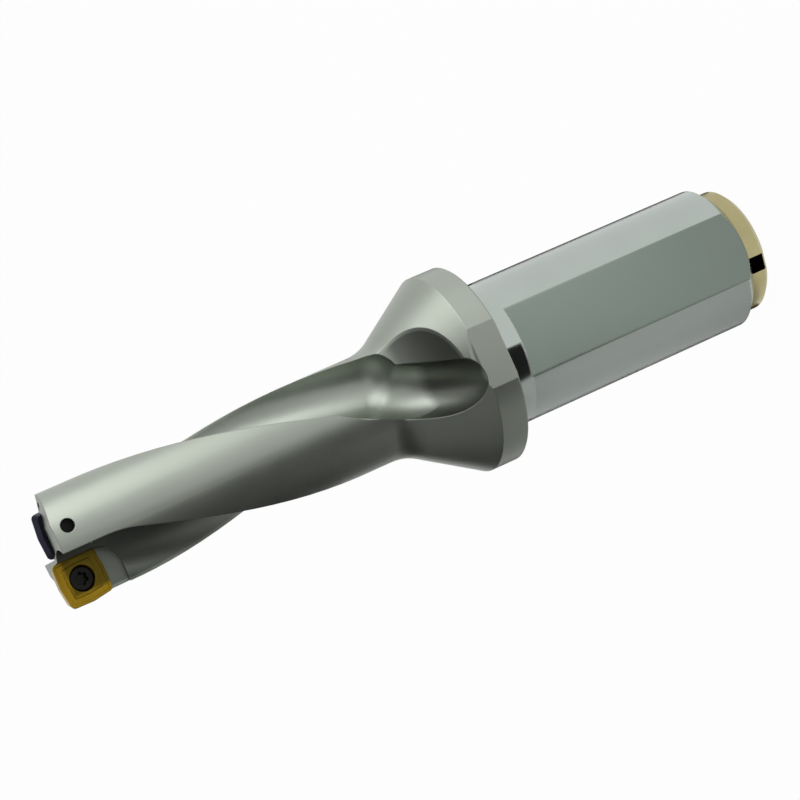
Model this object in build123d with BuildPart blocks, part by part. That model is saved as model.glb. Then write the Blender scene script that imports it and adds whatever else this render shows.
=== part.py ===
from build123d import *
from math import atan, cos, degrees, pi, radians, sin, tan
import os

# Indexable drill: a steel body with two helical flutes and two square inserts.
# Millimetres. The drill's axis is Z, with z = 0 on the end face of the ring at the shank's end
# and the cutting tip at the top. The clamping flats face -Y.

# Shank
shank_diameter = 25.0
shank_length = 52.5  # ring's end face to the flange's back
shank_chamfer = 1.5
shank_flat_depth = 1.53
shank_flat_margin = 4.5  # round shank left between the flat and the flange
relief_depth = 0.25  # undercut of both faces in the corner between shank and flange
relief_width = 0.8

# Flange and cone
flange_diameter = 34.6
flange_thickness = 4.9
flange_flat_depth = 0.8
flange_edge_break = 0.25
cone_angle = 32.5  # half angle
neck_radius = 9.0

# Fluted body
body_diameter = 18.5
body_length = 77.5  # flange's back to the front face
front_slope_start = 3.5  # the front face slopes back from this distance on both sides of the axis
front_slope_angle = 12.5

# Flutes, each cut by a round profile that follows a helix, then runs straight to the tip
flute_lead = 186.5
near_profile_radius = 5.4
near_helix_radius = 8.0
near_tip_angle = 30.8  # direction of the flute's centre at the front face
far_profile_radius = 6.1
far_helix_radius = 8.6
far_tip_angle = 222.2
flute_start_height = 20.5  # above the flange's back
straight_end_length = 10.9  # from the end of the helix to the front face
bend_radius = 12.0  # of the bend out of the helix

# Run-out of a flute through the cone, for a flute that starts at run_out_flute_angle: a wheel with
# a round rim, its axle tilted, cuts a slanted channel, and a wide disc cuts the hollow above it
run_out_flute_angle = -61.06
channel_offset = (1.85, -18.96)  # wheel's centre
channel_height = 19.25
channel_tilt = 24.6
channel_rim_radius = 4.6
channel_wheel_radius = 15.46
hollow_offset = (-1.5, -22.68)  # centre of the disc's lower face
hollow_height = 19.6
hollow_radius = 14.34
hollow_turn = 15.7
hollow_rise = 9.3

# Inserts: both have the same shape
insert_side = 7.5
insert_bulge = 0.3  # how far the middle of each side stands out
insert_thickness = 3.0
insert_corner_radius = 0.8
insert_relief_angle = 11.0
insert_hole_diameter = 2.9
countersink_diameter = 4.3
countersink_angle = 60.0
groove_inset = 0.5
groove_width = 0.9
groove_depth = 0.2

# Places of the inserts
cutting_diameter = 19.5
outer_insert_overhang = 0.45  # outer corner of the peripheral insert above the front face
outer_insert_rake = 7.0
outer_insert_turn = 3.5
inner_insert_overhang = 0.99  # middle of the central insert's front edge above the front face
inner_insert_reach = 1.15  # central insert's inner corner past the axis
inner_insert_rake = 4.0
inner_insert_turn = 1.2

# Pockets and the chip gullets in front of the rake faces
gullet_length = 10.0
gullet_setback = 0.25  # gullet floor behind the rake face
gullet_corner_radius = 4.0
outer_gullet_wall = 2.1  # distance of the wall from the axis
inner_gullet_wall = 1.45
corner_relief_radius = 0.5

# Coolant outlet in the front face, beside the central insert
outlet_diameter = 1.3
outlet_offset = (7.2, -2.2)
outlet_depth = 6.0

# Clamping screws
screw_diameter = 2.3
screw_length = 5.6
screw_head_diameter = 3.7
screw_rim_height = 0.1
socket_diameter = 1.7
socket_lobe_count = 6
socket_lobe_diameter = 0.55
socket_depth = 1.0

# Ring and coolant bore
ring_diameter = 21.7
ring_width = 3.5
ring_edge_chamfer = 0.9
ring_spigot_diameter = 15.0
ring_spigot_length = 6.0
ring_notch_width = 2.85
ring_notch_depth = 4.5
ring_notch_count = 2
ring_notch_angle = -112.7
coolant_bore_diameter = 9.0
coolant_bore_end_height = 5.5  # above the flange's back
spigot_end_gap = 0.5

shank_radius = shank_diameter / 2
flange_radius = flange_diameter / 2
body_radius = body_diameter / 2
flange_top = shank_length + flange_thickness
cone_top = flange_top + (flange_radius - body_radius) / tan(radians(cone_angle))
body_top = shank_length + body_length
flute_start = shank_length + flute_start_height
helix_end = body_top - straight_end_length
insert_half = insert_side / 2
insert_reach = insert_half + insert_bulge
beyond = 2 * flange_diameter  # reach of a cutter past the body


# Angle of a flute's helix to the plane square to the axis
def climb_angle(helix_radius):
    return atan(flute_lead / (2 * pi * helix_radius))


# Direction of a flute's centre where its helix ends, before the bend brings it to the tip angle
def helix_end_angle(tip_angle, helix_radius):
    shift = bend_radius * (1 - sin(climb_angle(helix_radius)))
    return tip_angle - degrees(atan(shift / helix_radius))


# Turn of a flute's helix from its start to its end
helix_turn = 360 * (helix_end - flute_start) / flute_lead


# Wheel with a round rim, given by its centre, its axle and a direction square to the axle
def make_wheel(center, axle, square_direction, rim_radius, hub_radius):
    with BuildPart() as wheel:
        with BuildSketch(Plane(origin=center, x_dir=axle, z_dir=axle.cross(square_direction))):
            with Locations((0, hub_radius)):
                Circle(rim_radius)
            Rectangle(2 * rim_radius, hub_radius, align=(Align.CENTER, Align.MIN))
            Rectangle(2 * rim_radius, rim_radius, align=(Align.CENTER, Align.MAX), mode=Mode.SUBTRACT)
        revolve(axis=Axis(center, axle))
    return wheel.part


# Bend out of a helix that ends on local X, and the straight run from there to past the tip
def make_straight_end(profile_radius, helix_radius):
    climb = climb_angle(helix_radius)
    along = Vector(0, cos(climb), sin(climb))
    bend_center = (helix_radius, -bend_radius * sin(climb), bend_radius * cos(climb))
    with BuildPart() as straight_end:
        with BuildSketch(Plane(origin=(helix_radius, 0, 0), x_dir=(1, 0, 0), z_dir=along)):
            Circle(profile_radius)
        revolve(axis=Axis(bend_center, (1, 0, 0)), revolution_arc=90 - degrees(climb))
        with BuildSketch(Plane.XY.offset(bend_radius * cos(climb))):
            with Locations((helix_radius, bend_radius * (1 - sin(climb)))):
                Circle(profile_radius)
        extrude(amount=straight_end_length)
    return straight_end.part


# Round profile swept along a helix that starts on local X, with its round start and straight end
def make_flute_cutter(profile_radius, helix_radius):
    climb = climb_angle(helix_radius)
    straight_end = make_straight_end(profile_radius, helix_radius)
    with BuildPart() as cutter:
        with BuildLine():
            Helix(pitch=flute_lead, height=helix_end - flute_start, radius=helix_radius)
        with BuildSketch(Plane(origin=(helix_radius, 0, 0), x_dir=(1, 0, 0), z_dir=(0, cos(climb), sin(climb)))):
            Circle(profile_radius)
        sweep(is_frenet=True)
        with Locations((helix_radius, 0, 0)):
            Sphere(profile_radius)
        add(straight_end.moved(Location((0, 0, helix_end - flute_start), (0, 0, helix_turn))))
    return cutter.part


# Wheel that cuts the slanted channel of a run-out
channel_axle = Vector(1, 0, 0).rotate(Axis.Y, channel_tilt)
channel_cutter = make_wheel(
    Vector(*channel_offset, shank_length + channel_height),
    channel_axle,
    Vector(0, -1, 0),
    channel_rim_radius,
    channel_wheel_radius - channel_rim_radius,
)

# Disc that cuts the hollow of a run-out
hollow_axle = Vector(1, 0, 0).rotate(Axis.Y, -hollow_rise).rotate(Axis.Z, hollow_turn)
with BuildPart() as hollow_cutter:
    with BuildSketch(Plane(origin=(*hollow_offset, shank_length + hollow_height), z_dir=hollow_axle)):
        Circle(hollow_radius)
    extrude(amount=flange_diameter)


# Cutters of one flute and its run-out
def make_flute_cutters(profile_radius, helix_radius, tip_angle):
    start_angle = helix_end_angle(tip_angle, helix_radius) - helix_turn
    run_out_turn = Location((0, 0, 0), (0, 0, start_angle - run_out_flute_angle))
    flute_cutter = make_flute_cutter(profile_radius, helix_radius)
    return [
        flute_cutter.moved(Location((0, 0, flute_start), (0, 0, start_angle))),
        channel_cutter.moved(run_out_turn),
        hollow_cutter.part.moved(run_out_turn),
    ]


# Outward direction of a rake face: the peripheral insert (side 1) looks to -Y, the central one to +Y
def rake_normal(side, rake):
    return Vector(0, -side * cos(radians(rake)), -sin(radians(rake)))


# Rake face of an insert: local X runs towards the drill's axis, local Y towards the tip
def rake_plane(front_point, side, rake, turn, center_offset):
    normal = rake_normal(side, rake)
    inward = Vector(side, 0, 0).rotate(Axis((0, 0, 0), normal), turn)
    front_plane = Plane(origin=front_point, x_dir=inward, z_dir=normal)
    return Plane(origin=front_plane.from_local_coords(center_offset), x_dir=inward, z_dir=normal)


# Floor of a gullet, parallel to its rake face, with its origin on the axis at the front face
def gullet_plane(side, rake):
    floor_plane = Plane(origin=(0, 0, body_top), x_dir=(side, 0, 0), z_dir=rake_normal(side, rake))
    return floor_plane.offset(-gullet_setback)


outer_plane = rake_plane(
    (-cutting_diameter / 2, 0, body_top + outer_insert_overhang),
    1,
    outer_insert_rake,
    outer_insert_turn,
    (insert_half, -insert_half, 0),
)
inner_plane = rake_plane(
    (insert_half - inner_insert_reach, 0, body_top + inner_insert_overhang),
    -1,
    inner_insert_rake,
    inner_insert_turn,
    (0, -insert_reach, 0),
)

# Outline of an insert, before its corners are rounded: a square whose sides rise towards their middle
with BuildSketch() as insert_outline:
    with BuildLine():
        Polyline(
            (insert_half, insert_half),
            (0, insert_reach),
            (-insert_half, insert_half),
            (-insert_reach, 0),
            (-insert_half, -insert_half),
            (0, -insert_reach),
            (insert_half, -insert_half),
            (insert_reach, 0),
            close=True,
        )
    make_face()


# Plain block of an insert, tapering away from its rake face
def make_insert_block(plane):
    with BuildPart() as block:
        with BuildSketch(plane):
            add(insert_outline.sketch)
        extrude(amount=-insert_thickness, taper=insert_relief_angle)
        fillet(block.edges().sort_by_distance(plane.origin)[-4:], insert_corner_radius)
    return block.part


outer_block = make_insert_block(outer_plane)
inner_block = make_insert_block(inner_plane)

near_flute_cutters = make_flute_cutters(near_profile_radius, near_helix_radius, near_tip_angle)
far_flute_cutters = make_flute_cutters(far_profile_radius, far_helix_radius, far_tip_angle)

with BuildPart() as drill_body:
    # Turned blank, its profile standing on the side of the flats
    with BuildSketch(Plane(origin=(0, 0, 0), x_dir=(0, -1, 0), z_dir=(-1, 0, 0))) as profile:
        with BuildLine():
            Polyline(
                (0, ring_width),
                (shank_radius - shank_chamfer, ring_width),
                (shank_radius, ring_width + shank_chamfer),
                (shank_radius, shank_length - relief_width),
                (shank_radius - relief_depth, shank_length - relief_width),
                (shank_radius - relief_depth, shank_length + relief_depth),
                (shank_radius + relief_depth, shank_length + relief_depth),
                (shank_radius + relief_depth, shank_length),
                (flange_radius - flange_edge_break, shank_length),
                (flange_radius, shank_length + flange_edge_break),
                (flange_radius, flange_top),
                (body_radius, cone_top),
                (body_radius, body_top),
                (0, body_top),
                close=True,
            )
        make_face()
        fillet(profile.vertices().sort_by_distance((body_radius, cone_top))[0], neck_radius)
    revolve(axis=Axis.Z)

    # Clamping flat on the shank and the flat on the flange
    with BuildSketch(Plane.XY):
        with Locations((0, -shank_radius + shank_flat_depth)):
            Rectangle(shank_diameter, shank_radius, align=(Align.CENTER, Align.MAX))
    extrude(amount=shank_length - shank_flat_margin, mode=Mode.SUBTRACT)
    with BuildSketch(Plane.XY.offset(shank_length)):
        with Locations((0, -flange_radius + flange_flat_depth)):
            Rectangle(flange_diameter, flange_radius, align=(Align.CENTER, Align.MAX))
    extrude(amount=body_length, mode=Mode.SUBTRACT)

    # Slopes of the front face
    with BuildSketch(Plane.XZ):
        with BuildLine():
            Polyline(
                (front_slope_start, body_top),
                (body_diameter, body_top),
                (body_diameter, body_top - (body_diameter - front_slope_start) * tan(radians(front_slope_angle))),
                close=True,
            )
        make_face()
        mirror(about=Plane.YZ)
    extrude(amount=body_diameter, both=True, mode=Mode.SUBTRACT)

    # Flutes and their run-outs
    add(near_flute_cutters, mode=Mode.SUBTRACT)
    add(far_flute_cutters, mode=Mode.SUBTRACT)

    # Chip gullets, open in front of each rake face
    for floor_plane, wall in (
        (gullet_plane(1, outer_insert_rake), -outer_gullet_wall),
        (gullet_plane(-1, inner_insert_rake), inner_gullet_wall),
    ):
        with BuildSketch(floor_plane) as gullet:
            with Locations((wall, -gullet_length)):
                Rectangle(beyond, beyond, align=(Align.MAX, Align.MIN))
            fillet(gullet.vertices().sort_by_distance((wall, -gullet_length))[0], gullet_corner_radius)
        extrude(amount=beyond, mode=Mode.SUBTRACT)

    # Pockets, each with drilled corners and the insert's screw hole
    for pocket_plane, block in ((outer_plane, outer_block), (inner_plane, inner_block)):
        add(block, mode=Mode.SUBTRACT)
        with BuildSketch(pocket_plane):
            for side in (-1, 1):
                with Locations((side * (insert_half - corner_relief_radius), corner_relief_radius - insert_half)):
                    Circle(corner_relief_radius)
        extrude(amount=-insert_thickness, mode=Mode.SUBTRACT)
        with BuildSketch(pocket_plane):
            Circle(screw_diameter / 2)
        extrude(amount=-body_diameter, mode=Mode.SUBTRACT)

    # Coolant outlet
    with BuildSketch(Plane.XY.offset(body_top)):
        with Locations(outlet_offset):
            Circle(outlet_diameter / 2)
    extrude(amount=-outlet_depth, mode=Mode.SUBTRACT)

    # Coolant bore with the seat of the ring's spigot
    with BuildSketch(Plane.XY.offset(ring_width)):
        Circle(ring_spigot_diameter / 2)
    extrude(amount=ring_spigot_length + spigot_end_gap, mode=Mode.SUBTRACT)
    with BuildSketch(Plane.XY.offset(ring_width)):
        Circle(coolant_bore_diameter / 2)
    extrude(amount=shank_length + coolant_bore_end_height - ring_width, mode=Mode.SUBTRACT)

with BuildPart() as end_ring:
    with BuildSketch(Plane.XY):
        Circle(ring_diameter / 2)
    extrude(amount=ring_width)
    chamfer(end_ring.edges().group_by(Axis.Z)[0], ring_edge_chamfer)
    with BuildSketch(Plane.XY.offset(ring_width)):
        Circle(ring_spigot_diameter / 2)
    extrude(amount=ring_spigot_length)
    with BuildSketch(Plane.XY):
        Circle(coolant_bore_diameter / 2)
    extrude(amount=ring_width + ring_spigot_length, mode=Mode.SUBTRACT)
    with BuildSketch(Plane.XY):
        with PolarLocations(ring_diameter / 2, ring_notch_count, start_angle=ring_notch_angle):
            Rectangle(2 * ring_notch_depth, ring_notch_width)
    extrude(amount=ring_width, mode=Mode.SUBTRACT)


# Insert with its chip groove and countersunk hole
def make_insert(plane, block):
    with BuildPart() as insert:
        add(block)
        with BuildSketch(plane):
            add(insert_outline.sketch)
            offset(amount=-groove_inset, kind=Kind.INTERSECTION)
            offset(insert_outline.sketch, amount=-groove_inset - groove_width, mode=Mode.SUBTRACT)
        extrude(amount=-groove_depth, mode=Mode.SUBTRACT)
        with Locations(plane):
            CounterSinkHole(
                insert_hole_diameter / 2,
                countersink_diameter / 2,
                depth=insert_thickness,
                counter_sink_angle=countersink_angle,
            )
    return insert


# Countersunk screw with a six-lobe socket, seated in the insert's countersink
def make_screw(plane):
    slope = tan(radians(countersink_angle / 2))
    rim_depth = (countersink_diameter - screw_head_diameter) / 2 / slope
    cone_depth = (screw_head_diameter - insert_hole_diameter) / 2 / slope
    top_plane = plane.offset(screw_rim_height - rim_depth)
    with BuildPart() as screw:
        with BuildSketch(top_plane):
            Circle(screw_diameter / 2)
        extrude(amount=-screw_length)
        with BuildSketch(top_plane):
            Circle(screw_head_diameter / 2)
        extrude(amount=-screw_rim_height)
        with BuildSketch(plane.offset(-rim_depth)):
            Circle(screw_head_diameter / 2)
        extrude(amount=-cone_depth, taper=countersink_angle / 2)
        with BuildSketch(top_plane):
            Circle(socket_diameter / 2)
            with PolarLocations(socket_diameter / 2, socket_lobe_count):
                Circle(socket_lobe_diameter / 2)
        extrude(amount=-socket_depth, mode=Mode.SUBTRACT)
    return screw


peripheral_insert = make_insert(outer_plane, outer_block)
central_insert = make_insert(inner_plane, inner_block)
peripheral_screw = make_screw(outer_plane)
central_screw = make_screw(inner_plane)

drill_body.part.label = "drill_body"
end_ring.part.label = "end_ring"
peripheral_insert.part.label = "peripheral_insert"
central_insert.part.label = "central_insert"
peripheral_screw.part.label = "peripheral_screw"
central_screw.part.label = "central_screw"

os.makedirs("parts", exist_ok=True)
export_step(drill_body.part, "parts/drill_body.step")
export_step(end_ring.part, "parts/end_ring.step")
export_step(peripheral_insert.part, "parts/peripheral_insert.step")
export_step(central_insert.part, "parts/central_insert.step")
export_step(peripheral_screw.part, "parts/peripheral_screw.step")
export_step(central_screw.part, "parts/central_screw.step")
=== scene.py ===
import math

import bpy
from mathutils import Matrix, Vector


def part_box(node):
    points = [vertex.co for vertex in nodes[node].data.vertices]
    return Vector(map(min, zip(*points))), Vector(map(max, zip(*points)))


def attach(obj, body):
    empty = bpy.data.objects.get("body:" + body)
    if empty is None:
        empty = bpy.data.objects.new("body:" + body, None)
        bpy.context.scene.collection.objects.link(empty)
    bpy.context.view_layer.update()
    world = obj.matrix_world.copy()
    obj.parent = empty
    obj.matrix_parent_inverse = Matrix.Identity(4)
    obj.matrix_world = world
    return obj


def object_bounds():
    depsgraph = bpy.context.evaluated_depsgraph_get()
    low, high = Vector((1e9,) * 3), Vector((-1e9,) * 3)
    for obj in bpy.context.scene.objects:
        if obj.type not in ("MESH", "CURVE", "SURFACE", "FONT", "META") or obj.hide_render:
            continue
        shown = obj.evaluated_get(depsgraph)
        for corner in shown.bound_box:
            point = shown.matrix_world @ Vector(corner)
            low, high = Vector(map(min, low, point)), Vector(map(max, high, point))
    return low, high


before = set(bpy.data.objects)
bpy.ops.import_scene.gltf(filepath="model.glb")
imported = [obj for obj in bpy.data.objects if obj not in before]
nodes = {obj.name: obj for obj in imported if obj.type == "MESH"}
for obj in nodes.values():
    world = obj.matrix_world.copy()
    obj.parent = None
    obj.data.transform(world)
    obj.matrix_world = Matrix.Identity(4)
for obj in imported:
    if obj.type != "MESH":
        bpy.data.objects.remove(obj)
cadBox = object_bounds()
print("frame loaded:", sorted(nodes))


# Helpers for node trees. A value is a number, a colour, or another node's socket, which is linked.

def addNode(tree, kind, **settings):
    node = tree.nodes.new(kind)
    for name, value in settings.items():
        setattr(node, name, value)
    return node


def setSocket(tree, socket, value):
    if isinstance(value, bpy.types.NodeSocket):
        tree.links.new(value, socket)
    else:
        socket.default_value = value


def mathNode(tree, operation, *values):
    node = addNode(tree, "ShaderNodeMath", operation=operation)
    for socket, value in zip(node.inputs, values):
        setSocket(tree, socket, value)
    return node.outputs[0]


def product(tree, result, *factors):
    for factor in factors:
        result = mathNode(tree, "MULTIPLY", result, factor)
    return result


def vectorNode(tree, operation, *values):
    node = addNode(tree, "ShaderNodeVectorMath", operation=operation)
    for socket, value in zip(node.inputs, values):
        setSocket(tree, socket, value)
    return node.outputs["Value" if operation in ("LENGTH", "DOT_PRODUCT") else "Vector"]


def splitVector(tree, vector):
    node = addNode(tree, "ShaderNodeSeparateXYZ")
    tree.links.new(vector, node.inputs[0])
    return node.outputs


# Places of the Mix node's two inputs and its output for each kind of value
mixSockets = {"FLOAT": (2, 3, 0), "VECTOR": (4, 5, 1), "RGBA": (6, 7, 2)}


def mixNode(tree, kind, factor, first, second, blend="MIX"):
    node = addNode(tree, "ShaderNodeMix", data_type=kind, blend_type=blend)
    firstPlace, secondPlace, resultPlace = mixSockets[kind]
    for socketPlace, value in ((0, factor), (firstPlace, first), (secondPlace, second)):
        setSocket(tree, node.inputs[socketPlace], value)
    return node.outputs[resultPlace]


# Runs smoothly from one output at the value start to the other at the value full
def smoothBand(tree, value, start, full, outStart=0.0, outFull=1.0):
    node = addNode(tree, "ShaderNodeMapRange", interpolation_type="SMOOTHSTEP")
    tree.links.new(value, node.inputs["Value"])
    names = ("From Min", "From Max", "To Min", "To Max")
    for name, number in zip(names, (start, full, outStart, outFull)):
        node.inputs[name].default_value = number
    return node.outputs["Result"]


def noiseNode(tree, place, scale, detail):
    node = addNode(tree, "ShaderNodeTexNoise")
    for name, value in (("Vector", place), ("Scale", scale), ("Detail", detail)):
        setSocket(tree, node.inputs[name], value)
    return node.outputs[0]


nodeSpacing = {"across": 220, "down": 200}  # in the node editor


# Lays a tree's nodes out in columns, each node before those that it feeds
def arrangeNodes(tree):
    columns = {node.name: 0 for node in tree.nodes}
    for _ in tree.nodes:
        for link in tree.links:
            before, after = link.from_node.name, link.to_node.name
            columns[before] = max(columns[before], columns[after] + 1)
    filled = {}
    for node in tree.nodes:
        column = columns[node.name]
        row = filled.get(column, 0)
        filled[column] = row + 1
        node.location = (-nodeSpacing["across"] * column, -nodeSpacing["down"] * row)


def clearTree(owner):
    owner.use_nodes = True
    owner.node_tree.nodes.clear()
    return owner.node_tree


def newMaterial(name):
    material = bpy.data.materials.new(name)
    tree = clearTree(material)
    shader = addNode(tree, "ShaderNodeBsdfPrincipled")
    output = addNode(tree, "ShaderNodeOutputMaterial")
    tree.links.new(shader.outputs[0], output.inputs["Surface"])
    return material, tree, shader


def color(red, green, blue):
    return (red, green, blue, 1.0)


# Helpers for objects

def newObject(name, data):
    made = bpy.data.objects.new(name, data)
    bpy.context.scene.collection.objects.link(made)
    return made


def newMeshObject(name, corners, faces):
    mesh = bpy.data.meshes.new(name)
    mesh.from_pydata(corners, [], faces)
    return newObject(name, mesh)


# Shared shader groups

surfaceDetail = {
    "grainScale": 9000.0,
    "grainDetail": 3.0,
    "cloudScale": 120.0,
    "cloudDetail": 4.0,
    "cloudRange": (0.3, 0.7),  # of the noise, read by each material
    "wearRadius": 0.0003,
    "wearTurns": (0.995, 0.85),  # cosine of the turn at which wear starts, and at which it is full
    "wearSamples": 6,
    "breakupScale": 900.0,
    "breakupDetail": 2.0,
    "breakupRange": (0.35, 0.62),
    "breakupShares": (0.35, 1.0),
}


# A group that reads a position and some named numbers
def newGroup(name, numbers, outputs):
    tree = bpy.data.node_groups.new(name, "ShaderNodeTree")
    tree.interface.new_socket("Position", in_out="INPUT", socket_type="NodeSocketVector")
    for label, value in numbers.items():
        socket = tree.interface.new_socket(label, in_out="INPUT", socket_type="NodeSocketFloat")
        socket.default_value = value
    for label, kind in outputs.items():
        tree.interface.new_socket(label, in_out="OUTPUT", socket_type=kind)
    entry = addNode(tree, "NodeGroupInput").outputs
    leave = addNode(tree, "NodeGroupOutput").inputs
    return tree, entry, leave


# Fine blasted grain as a height, and faint clouds as a tone from 0 to 1
def buildSatinGrain():
    tree, entry, leave = newGroup(
        "satinGrain",
        {"Grain Scale": surfaceDetail["grainScale"], "Cloud Scale": surfaceDetail["cloudScale"]},
        {"Height": "NodeSocketFloat", "Cloud": "NodeSocketFloat"},
    )
    grain = noiseNode(tree, entry["Position"], entry["Grain Scale"], surfaceDetail["grainDetail"])
    cloud = noiseNode(tree, entry["Position"], entry["Cloud Scale"], surfaceDetail["cloudDetail"])
    tree.links.new(grain, leave["Height"])
    tree.links.new(cloud, leave["Cloud"])
    arrangeNodes(tree)
    return tree


# The rounded normal, and a mask that is high where it turns away from the true one
def buildEdgeWear():
    tree, entry, leave = newGroup(
        "edgeWear",
        {"Radius": surfaceDetail["wearRadius"], "Breakup Scale": surfaceDetail["breakupScale"]},
        {"Mask": "NodeSocketFloat", "Normal": "NodeSocketVector"},
    )
    bevel = addNode(tree, "ShaderNodeBevel", samples=surfaceDetail["wearSamples"])
    tree.links.new(entry["Radius"], bevel.inputs["Radius"])
    rounded = bevel.outputs[0]
    trueNormal = addNode(tree, "ShaderNodeNewGeometry").outputs["Normal"]
    turn = vectorNode(tree, "DOT_PRODUCT", rounded, trueNormal)
    edge = smoothBand(tree, turn, *surfaceDetail["wearTurns"])
    patches = noiseNode(tree, entry["Position"], entry["Breakup Scale"], surfaceDetail["breakupDetail"])
    broken = smoothBand(tree, patches, *surfaceDetail["breakupRange"], *surfaceDetail["breakupShares"])
    tree.links.new(product(tree, edge, broken), leave["Mask"])
    tree.links.new(rounded, leave["Normal"])
    arrangeNodes(tree)
    return tree


satinGrain = buildSatinGrain()
edgeWear = buildEdgeWear()
print("shader groups built")


def placeGroup(tree, group, position, **values):
    node = addNode(tree, "ShaderNodeGroup", node_tree=group)
    tree.links.new(position, node.inputs["Position"])
    for name, value in values.items():
        setSocket(tree, node.inputs[name], value)
    return node.outputs


# Spreads the faint clouds of the grain between two values
def cloudBand(tree, grain, values):
    return smoothBand(tree, grain["Cloud"], *surfaceDetail["cloudRange"], *values)


# Last step of a metal: its colour, its roughness, and its grain on top of a normal
def finishMetal(tree, shader, finish, base, roughness, grain, normal):
    bump = addNode(tree, "ShaderNodeBump")
    bump.inputs["Distance"].default_value = finish["grainHeight"]
    bump.inputs["Strength"].default_value = finish["grainStrength"]
    tree.links.new(grain["Height"], bump.inputs["Height"])
    tree.links.new(normal, bump.inputs["Normal"])
    tree.links.new(base, shader.inputs["Base Color"])
    tree.links.new(roughness, shader.inputs["Roughness"])
    tree.links.new(bump.outputs[0], shader.inputs["Normal"])
    shader.inputs["Metallic"].default_value = 1.0
    arrangeNodes(tree)


# Nickelled steel of the body: ground on the shank, satin on the flange, the cone and the flutes

bodySteel = {
    "satinColor": color(0.37, 0.40, 0.35),
    "groundColor": color(0.44, 0.485, 0.455),
    "flatPaintedShadeColor": color(0.27, 0.325, 0.285),  # clamping flat, darker with painted shade for the dark reflection it shows
    "wornColor": color(0.62, 0.62, 0.58),
    "wearShare": 0.12,
    "satinRoughness": 0.40,
    "groundRoughness": 0.22,
    "flatRoughness": 0.36,
    "bandRoughness": 0.09,  # bright band beside the flange
    "roughnessShifts": (-0.015, 0.015),
    "cloudTones": (0.98, 1.02),
    "flatShifts": (-0.28, 0.12),  # change of the flat's tone at the shank's end, and at the band
    # painted shade inside the run-outs
    "runOutPaintedShade": 0.45,
    "flutePaintedShade": 0.55,  # painted shade in the flutes' hollows, reached at the tip
    "grainHeight": 0.000006,
    "grainStrength": 0.5,
    # Rounding of the edges, with what is added on the shank and where a flute meets its run-out
    "edgeRadius": 0.0002,
    "shankEdgeExtra": 0.0004,
    "meetingExtra": 0.0018,
    # Sizes of the body
    "bodyRadius": 0.00925,
    "coneTop": 0.0702,
    "coneAngle": 32.5,
    "neckTop": 0.07266,
    "neckRadius": 0.009,
    "flatPlace": -0.01097,
    "flatMargin": 0.00006,
    # Each mask starts at the first number and is full at the second. Heights along the axis:
    "shankHeights": (0.05255, 0.05245),
    "bandHeights": (0.0480, 0.0481),
    "aboveFlangeHeights": (0.0575, 0.0578),
    "channelHeights": (0.0651, 0.0631),
    "hollowHeights": (0.0695, 0.0665),
    "meetingLowHeights": (0.0649, 0.0661),
    "meetingHighHeights": (0.0731, 0.0719),
    "dipLowHeights": (0.0698, 0.0706),
    "dipHighHeights": (0.0830, 0.0825),
    "fluteHeights": (0.074, 0.118),
    # Distances from the axis, and depths below the turned outline
    "hollowRadii": (0.0083, 0.0087),
    "meetingRadii": (0.0084, 0.0076),
    "dipInnerRadii": (0.00815, 0.00835),
    "dipOuterRadii": (0.00928, 0.00926),
    "cavityDepths": (0.0003, 0.0006),
    # Parts of the normal that point along the axis, and straight outward
    "sidewaysParts": (0.6, 0.4),
    "outwardParts": (0.55, 0.65),
}


# The shank, its bright band beside the flange, and the clamping flat, which ends at the band
def shankMasks(tree, axes):
    shank = smoothBand(tree, axes["Z"], *bodySteel["shankHeights"])
    band = smoothBand(tree, axes["Z"], *bodySteel["bandHeights"])
    atFlat = mathNode(tree, "COMPARE", axes["Y"], bodySteel["flatPlace"], bodySteel["flatMargin"])
    flat = product(tree, atFlat, mathNode(tree, "SUBTRACT", 1.0, band))
    return shank, band, flat


# What is cut below the turned outline of cone and body
def cavityMask(tree, height, radius):
    belowCone = mathNode(tree, "SUBTRACT", bodySteel["coneTop"], height)
    widening = product(tree, belowCone, math.tan(math.radians(bodySteel["coneAngle"])))
    outline = mathNode(tree, "ADD", mathNode(tree, "MAXIMUM", widening, 0.0), bodySteel["bodyRadius"])
    return smoothBand(tree, mathNode(tree, "SUBTRACT", outline, radius), *bodySteel["cavityDepths"])


# Painted shade: the run-outs are darker, at the channel's end near the flange and in the outer part of the
# hollow above it
def runOutPaintedShadeValue(tree, cavity, height, radius):
    channel = smoothBand(tree, height, *bodySteel["channelHeights"])
    highUp = smoothBand(tree, radius, *bodySteel["hollowRadii"])
    hollow = product(tree, highUp, smoothBand(tree, height, *bodySteel["hollowHeights"]))
    aboveFlange = smoothBand(tree, height, *bodySteel["aboveFlangeHeights"])
    shaded = product(tree, cavity, mathNode(tree, "MAXIMUM", channel, hollow), aboveFlange)
    return mathNode(tree, "MULTIPLY_ADD", shaded, bodySteel["runOutPaintedShade"] - 1.0, 1.0)


# Painted shade: the flutes' hollows darken towards the tip, apart from faces that look along the axis
def flutePaintedShadeValue(tree, cavity, height, normal):
    sideways = smoothBand(tree, splitVector(tree, normal)["Z"], *bodySteel["sidewaysParts"])
    change = smoothBand(tree, height, *bodySteel["fluteHeights"], 0.0, bodySteel["flutePaintedShade"] - 1.0)
    return mathNode(tree, "MULTIPLY_ADD", product(tree, cavity, sideways), change, 1.0)


# The flat is darker at the shank's end and lighter at the band
def flatToneValue(tree, flat, height):
    change = smoothBand(tree, height, 0.0, bodySteel["bandHeights"][0], *bodySteel["flatShifts"])
    return mathNode(tree, "MULTIPLY_ADD", flat, change, 1.0)


# Where a flute's round start meets its run-out, and the rounding is wide
def meetingMask(tree, height, radius):
    inside = smoothBand(tree, radius, *bodySteel["meetingRadii"])
    low = smoothBand(tree, height, *bodySteel["meetingLowHeights"])
    high = smoothBand(tree, height, *bodySteel["meetingHighHeights"])
    return product(tree, inside, product(tree, low, high))


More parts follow.
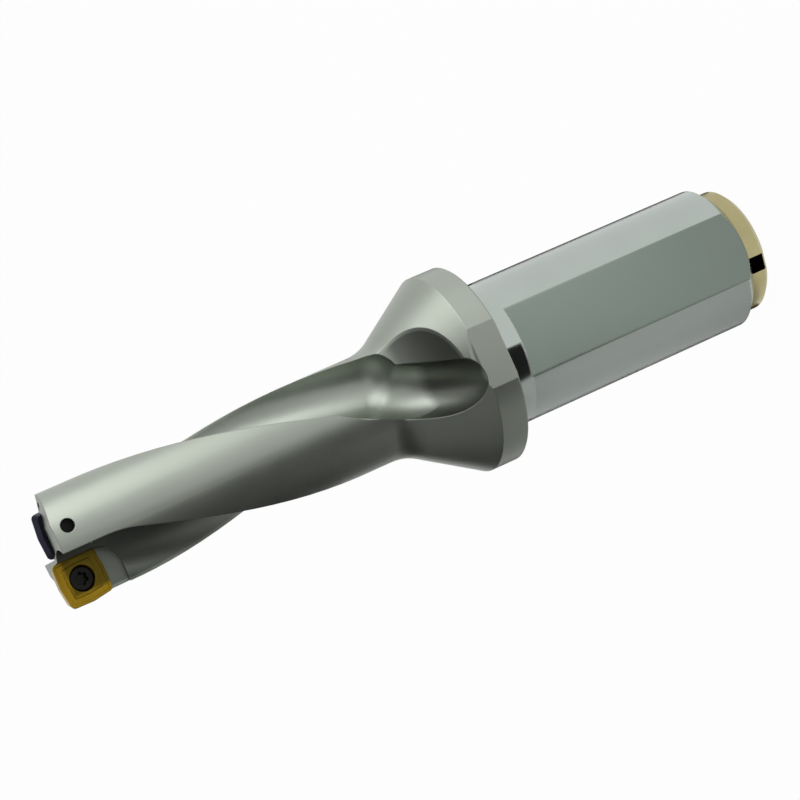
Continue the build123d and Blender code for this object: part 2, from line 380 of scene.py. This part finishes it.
# The shallow dip beside each run-out, and the normal of the round land and neck that it lies in
def dipShading(tree, height, radius, outward, normal):
    belowNeck = mathNode(tree, "SUBTRACT", bodySteel["neckTop"], height)
    slope = mathNode(tree, "DIVIDE", mathNode(tree, "MAXIMUM", belowNeck, 0.0), bodySteel["neckRadius"])
    # The neck stands a little above the land, and landRadius leaves that out
    neckRise = product(tree, slope, slope, bodySteel["neckRadius"] / 2)
    landRadius = mathNode(tree, "SUBTRACT", radius, neckRise)
    tilt = addNode(tree, "ShaderNodeCombineXYZ")
    tree.links.new(slope, tilt.inputs["Z"])
    roundNormal = vectorNode(tree, "NORMALIZE", vectorNode(tree, "ADD", outward, tilt.outputs[0]))
    facing = vectorNode(tree, "DOT_PRODUCT", normal, outward)
    dip = product(
        tree,
        smoothBand(tree, facing, *bodySteel["outwardParts"]),
        smoothBand(tree, landRadius, *bodySteel["dipInnerRadii"]),
        smoothBand(tree, landRadius, *bodySteel["dipOuterRadii"]),
        smoothBand(tree, height, *bodySteel["dipLowHeights"]),
        smoothBand(tree, height, *bodySteel["dipHighHeights"]),
    )
    return dip, roundNormal


def makeBodySteel():
    material, tree, shader = newMaterial("nickelledSteel")
    place = addNode(tree, "ShaderNodeTexCoord").outputs["Object"]
    axes = splitVector(tree, place)
    height = axes["Z"]
    levelPlace = vectorNode(tree, "MULTIPLY", place, (1, 1, 0))
    radius = vectorNode(tree, "LENGTH", levelPlace)
    outward = vectorNode(tree, "NORMALIZE", levelPlace)
    normal = addNode(tree, "ShaderNodeNewGeometry").outputs["Normal"]

    shank, band, flat = shankMasks(tree, axes)
    cavity = cavityMask(tree, height, radius)
    meeting = meetingMask(tree, height, radius)
    dip, roundNormal = dipShading(tree, height, radius, outward, normal)

    shankEdge = mathNode(tree, "MULTIPLY_ADD", shank, bodySteel["shankEdgeExtra"], bodySteel["edgeRadius"])
    rounding = mathNode(tree, "MULTIPLY_ADD", meeting, bodySteel["meetingExtra"], shankEdge)
    grain = placeGroup(tree, satinGrain, place)
    wear = placeGroup(tree, edgeWear, place, Radius=rounding)
    evened = mixNode(tree, "VECTOR", dip, wear["Normal"], roundNormal)

    turned = mixNode(tree, "RGBA", shank, bodySteel["satinColor"], bodySteel["groundColor"])
    # The flat takes its darker colour here, which is painted shade
    plain = mixNode(tree, "RGBA", flat, turned, bodySteel["flatPaintedShadeColor"])
    # The tone holds random clouds, the flat's change along its length, and painted shade in the run-outs and
    # flutes
    tone = product(
        tree,
        cloudBand(tree, grain, bodySteel["cloudTones"]),
        flatToneValue(tree, flat, height),
        runOutPaintedShadeValue(tree, cavity, height, radius),
        flutePaintedShadeValue(tree, cavity, height, normal),
    )
    toned = mixNode(tree, "RGBA", 1.0, plain, tone, blend="MULTIPLY")
    sharp = mathNode(tree, "SUBTRACT", 1.0, mathNode(tree, "MAXIMUM", meeting, dip))
    wearShare = product(tree, wear["Mask"], sharp, bodySteel["wearShare"])
    worn = mixNode(tree, "RGBA", wearShare, toned, bodySteel["wornColor"])

    shankRough = mixNode(tree, "FLOAT", band, bodySteel["groundRoughness"], bodySteel["bandRoughness"])
    turnedRough = mixNode(tree, "FLOAT", shank, bodySteel["satinRoughness"], shankRough)
    rough = mixNode(tree, "FLOAT", flat, turnedRough, bodySteel["flatRoughness"])
    roughness = mathNode(tree, "ADD", rough, cloudBand(tree, grain, bodySteel["roughnessShifts"]))
    finishMetal(tree, shader, bodySteel, worn, roughness, grain, evened)
    return material


# Coated carbide of the inserts, blackened screws and the pale gold ring

blackScrew = {
    "base": color(0.03, 0.03, 0.028),
    "shade": color(0.015, 0.015, 0.012),
    "edge": color(0.3, 0.3, 0.3),
    "roughness": 0.42,
}
coatedFinish = {
    "peripheral_insert": {
        "base": color(0.52, 0.33, 0.025),
        "shade": color(0.26, 0.16, 0.014),
        # painted shade inside the groove
        "recessPaintedShade": color(0.10, 0.075, 0.012),
        "recessPaintedShadeShare": 0.85,
        "brightReaches": (0.0018, 0.0027),  # where its two bright edges start and are full, from the screw
        "edge": color(1, 1, 1),
        "roughness": 0.30,
    },
    "central_insert": {
        "base": color(0.014, 0.014, 0.02),
        "shade": color(0.008, 0.008, 0.012),
        "edge": color(0.5, 0.5, 0.55),
        "roughness": 0.30,
    },
    "end_ring": {
        "base": color(0.45, 0.405, 0.215),
        "shade": color(0.36, 0.32, 0.16),
        # painted shade inside the notches
        "recessPaintedShade": color(0.03, 0.024, 0.012),
        "edge": color(1, 1, 1),
        "roughness": 0.32,
    },
    "peripheral_screw": blackScrew,
    "central_screw": blackScrew,
}
coatedSurface = {
    "cloudShares": (0.0, 0.5),
    "wearRadius": 0.00015,
    "wearShare": 0.35,
    "wornGain": 1.6,
    "wornLift": 0.02,
    "roughnessShifts": (-0.04, 0.05),
    "grainHeight": 0.00001,
    "grainStrength": 0.4,
}
ringNotch = {
    "angle": -112.7,
    "halfWidth": 0.00144,
    "floor": 0.0063,  # distance from the axis
    "webHeight": 0.0006,
    "webMargin": 0.00005,  # the notch's painted shade takes in the web's upper face
    "webReach": 0.0098,  # at the end face, from where the web widens like the ring
    "webHalfWidth": 0.001415,
}


# Painted shade: the outer insert's face is darkened inside its groove, and bright along its front and outer
# edges
def groovePaintedShadeMask(tree, place):
    finish = coatedFinish["peripheral_insert"]
    axes = splitVector(tree, place)
    low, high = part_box("peripheral_screw")
    towardTip = mathNode(tree, "SUBTRACT", axes["Z"], (low[2] + high[2]) / 2)
    towardSide = mathNode(tree, "SUBTRACT", (low[0] + high[0]) / 2, axes["X"])
    front = smoothBand(tree, towardTip, *finish["brightReaches"])
    outer = smoothBand(tree, towardSide, *finish["brightReaches"])
    bright = mathNode(tree, "MAXIMUM", front, outer)
    return mathNode(tree, "MULTIPLY_ADD", bright, -finish["recessPaintedShadeShare"], finish["recessPaintedShadeShare"])


# Painted shade: the ring is dark in its notches, above the webs
def notchPaintedShadeMask(tree, place):
    turn = math.radians(ringNotch["angle"])
    across = vectorNode(tree, "DOT_PRODUCT", place, (-math.sin(turn), math.cos(turn), 0))
    along = vectorNode(tree, "DOT_PRODUCT", place, (math.cos(turn), math.sin(turn), 0))
    webTop = ringNotch["webHeight"] - ringNotch["webMargin"]
    return product(
        tree,
        mathNode(tree, "LESS_THAN", mathNode(tree, "ABSOLUTE", across), ringNotch["halfWidth"]),
        mathNode(tree, "GREATER_THAN", mathNode(tree, "ABSOLUTE", along), ringNotch["floor"]),
        mathNode(tree, "GREATER_THAN", splitVector(tree, place)["Z"], webTop),
    )


recessPaintedShadeMasks = {"peripheral_insert": groovePaintedShadeMask, "end_ring": notchPaintedShadeMask}


def makeCoatedMetal(nodeName):
    finish = coatedFinish[nodeName]
    material, tree, shader = newMaterial(nodeName + "Coat")
    place = addNode(tree, "ShaderNodeTexCoord").outputs["Object"]
    grain = placeGroup(tree, satinGrain, place)
    wear = placeGroup(tree, edgeWear, place, Radius=coatedSurface["wearRadius"])

    cloud = cloudBand(tree, grain, coatedSurface["cloudShares"])
    coat = mixNode(tree, "RGBA", cloud, finish["base"], finish["shade"])
    # Painted shade in the outer insert's groove and in the ring's notches
    if nodeName in recessPaintedShadeMasks:
        coat = mixNode(tree, "RGBA", recessPaintedShadeMasks[nodeName](tree, place), coat, finish["recessPaintedShade"])
    wornColor = color(*[
        min(1.0, coatedSurface["wornGain"] * part + coatedSurface["wornLift"]) for part in finish["base"][:3]
    ])
    wearShare = product(tree, wear["Mask"], coatedSurface["wearShare"])
    worn = mixNode(tree, "RGBA", wearShare, coat, wornColor)

    roughCloud = cloudBand(tree, grain, coatedSurface["roughnessShifts"])
    roughness = mathNode(tree, "ADD", roughCloud, finish["roughness"])
    shader.inputs["Specular Tint"].default_value = finish["edge"]
    finishMetal(tree, shader, coatedSurface, worn, roughness, grain, wear["Normal"])
    return material


def dressNode(name, material):
    slots = nodes[name].data.materials
    slots.clear()
    slots.append(material)


dressNode("drill_body", makeBodySteel())
for coatedNode in coatedFinish:
    dressNode(coatedNode, makeCoatedMetal(coatedNode))
print("materials placed")


# Thin webs that close the ring's notches at its end face, where the photograph shows no gap in the outline
def makeNotchWebs():
    floor, reach, top = ringNotch["floor"], ringNotch["webReach"], ringNotch["webHeight"]
    corners = []
    faces = []
    for angle in (ringNotch["angle"], ringNotch["angle"] + 180):
        cosine, sine = math.cos(math.radians(angle)), math.sin(math.radians(angle))
        first = len(corners)
        for height, outerReach in ((0.0, reach), (top, reach + top)):
            for along, across in ((floor, -1), (outerReach, -1), (outerReach, 1), (floor, 1)):
                side = across * ringNotch["webHalfWidth"]
                corners.append((along * cosine - side * sine, along * sine + side * cosine, height))
        bottom = [first, first + 1, first + 2, first + 3]
        above = [corner + 4 for corner in bottom]
        for i in range(4):
            following = (i + 1) % 4
            faces.append((bottom[i], bottom[following], above[following], above[i]))
        faces += [bottom[::-1], above]
    webs = newMeshObject("ringNotchWebs", corners, faces)
    webs.data.materials.append(nodes["end_ring"].data.materials[0])
    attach(webs, "root")


makeNotchWebs()
print("ring's webs made")


# Studio: pale floor, soft light and the camera of the photograph

studio = {
    "floorSize": 12.0,
    "floorGap": 0.0005,  # below the object
    "floorColor": color(0.82, 0.82, 0.82),
    "floorWhiteShare": 0.97,
    "worldStrength": 0.55,
    "keyPower": 0.85,
    "keySize": (0.45, 0.35),
    "keyPlace": (0.42, -0.18, 0.16),
    "lampTarget": (0, 0, 0.065),
}


# Corners of a rectangle that stands upright, and of one that lies level
def uprightCorners(x, y, z):
    return [(x, y[0], z[0]), (x, y[1], z[0]), (x, y[1], z[1]), (x, y[0], z[1])]


def levelCorners(x, y, z):
    return [(x[0], y[0], z), (x[1], y[0], z), (x[1], y[1], z), (x[0], y[1], z)]


# Cards that only reflections see, each with its grey and its corners
leftSide = -0.14
leftReach = (-0.45, 0.25)
onFloor = -0.0003  # just above the floor
studioCards = {
    "leftLowCard": (0.4, uprightCorners(leftSide, leftReach, (0.0, 0.03))),
    "leftCard": (0.02, uprightCorners(leftSide, leftReach, (0.03, 0.1))),
    "leftHighCard": (0.3, uprightCorners(leftSide, leftReach, (0.1, 0.35))),
    "topCard": (0.12, levelCorners((-0.2, 0.1), (-0.4, 0.2), 0.32)),
    "frontCard": (0.01, levelCorners((leftSide, -0.0076), (-0.5, -0.08), onFloor)),
    "leftFloorCard": (0.95, levelCorners((leftSide, -0.0135), (-0.08, 0.12), onFloor)),
    "backCard": (0.02, [
        (-0.013, 0.0, onFloor), (0.013, 0.0, onFloor), (0.12, 0.2, onFloor), (-0.12, 0.2, onFloor),
    ]),
}
photoCamera = {
    "azimuth": -0.97,  # angles in degrees
    "elevation": 19.02,
    "roll": 113.98,
    "distance": 0.4292,
    "target": (-0.00041, 0.00444, 0.06537),
    "lens": 116.2,  # lens and sensor in millimetres
    "sensor": 36.0,
    "nearest": 0.01,
}


# 1 where a background is looked at, straight, in a reflection or through a clear piece, and 0 for its light
def seenDirectly(tree):
    path = addNode(tree, "ShaderNodeLightPath").outputs
    cameraOrGlossy = mathNode(tree, "MAXIMUM", path["Is Camera Ray"], path["Is Glossy Ray"])
    return mathNode(tree, "MAXIMUM", cameraOrGlossy, path["Is Transmission Ray"])


def mixShaders(tree, factor, first, second):
    mix = addNode(tree, "ShaderNodeMixShader")
    for socket, value in zip(mix.inputs, (factor, first, second)):
        tree.links.new(value, socket)
    return mix.outputs[0]


def makeFloor():
    edges = (-studio["floorSize"], studio["floorSize"])
    floor = newMeshObject("floor", levelCorners(edges, edges, 0), [(0, 1, 2, 3)])
    floor.location.z = cadBox[0][2] - studio["floorGap"]
    material = bpy.data.materials.new("paleFloor")
    tree = clearTree(material)
    diffuse = addNode(tree, "ShaderNodeBsdfDiffuse")
    diffuse.inputs["Color"].default_value = studio["floorColor"]
    white = addNode(tree, "ShaderNodeEmission")
    share = product(tree, seenDirectly(tree), studio["floorWhiteShare"])
    mixed = mixShaders(tree, share, diffuse.outputs[0], white.outputs[0])
    output = addNode(tree, "ShaderNodeOutputMaterial")
    tree.links.new(mixed, output.inputs["Surface"])
    arrangeNodes(tree)
    floor.data.materials.append(material)


def makeWorld():
    world = bpy.data.worlds.new("studioWorld")
    bpy.context.scene.world = world
    tree = clearTree(world)
    soft = addNode(tree, "ShaderNodeBackground")
    soft.inputs["Color"].default_value = color(1, 1, 1)
    soft.inputs["Strength"].default_value = studio["worldStrength"]
    white = addNode(tree, "ShaderNodeBackground")
    mixed = mixShaders(tree, seenDirectly(tree), soft.outputs[0], white.outputs[0])
    output = addNode(tree, "ShaderNodeOutputWorld")
    tree.links.new(mixed, output.inputs["Surface"])
    arrangeNodes(tree)


def addCard(name, grey, corners):
    card = newMeshObject(name, corners, [(0, 1, 2, 3)])
    card.visible_camera = False
    card.visible_diffuse = False
    card.visible_shadow = False
    material, tree, shader = newMaterial(name)
    shader.inputs["Base Color"].default_value = color(grey, grey, grey)
    shader.inputs["Roughness"].default_value = 1.0
    arrangeNodes(tree)
    card.data.materials.append(material)


def addKeyLamp():
    lamp = bpy.data.lights.new("keyLamp", "AREA")
    lamp.shape = "RECTANGLE"
    lamp.size, lamp.size_y = studio["keySize"]
    lamp.energy = studio["keyPower"]
    holder = newObject("keyLamp", lamp)
    holder.location = studio["keyPlace"]
    aim = Vector(studio["lampTarget"]) - Vector(studio["keyPlace"])
    holder.rotation_euler = aim.to_track_quat("-Z", "Y").to_euler()


def makeCamera():
    azimuth = math.radians(photoCamera["azimuth"])
    elevation = math.radians(photoCamera["elevation"])
    roll = math.radians(photoCamera["roll"])
    back = Vector((
        math.sin(azimuth) * math.cos(elevation),
        -math.cos(azimuth) * math.cos(elevation),
        math.sin(elevation),
    ))
    level = Vector((math.cos(azimuth), math.sin(azimuth), 0))
    upright = back.cross(level)
    right = level * math.cos(roll) - upright * math.sin(roll)
    up = level * math.sin(roll) + upright * math.cos(roll)
    camera = bpy.data.cameras.new("photoCamera")
    camera.lens = photoCamera["lens"]
    camera.sensor_width = photoCamera["sensor"]
    camera.clip_start = photoCamera["nearest"]
    holder = newObject("photoCamera", camera)
    turn = Matrix((right, up, back)).transposed()
    place = Vector(photoCamera["target"]) + back * photoCamera["distance"]
    holder.matrix_world = Matrix.Translation(place) @ turn.to_4x4()
    bpy.context.scene.camera = holder


makeFloor()
makeWorld()
for cardName, values in studioCards.items():
    addCard(cardName, *values)
addKeyLamp()
makeCamera()
bpy.context.scene.view_settings.view_transform = "Standard"
print("studio ready")
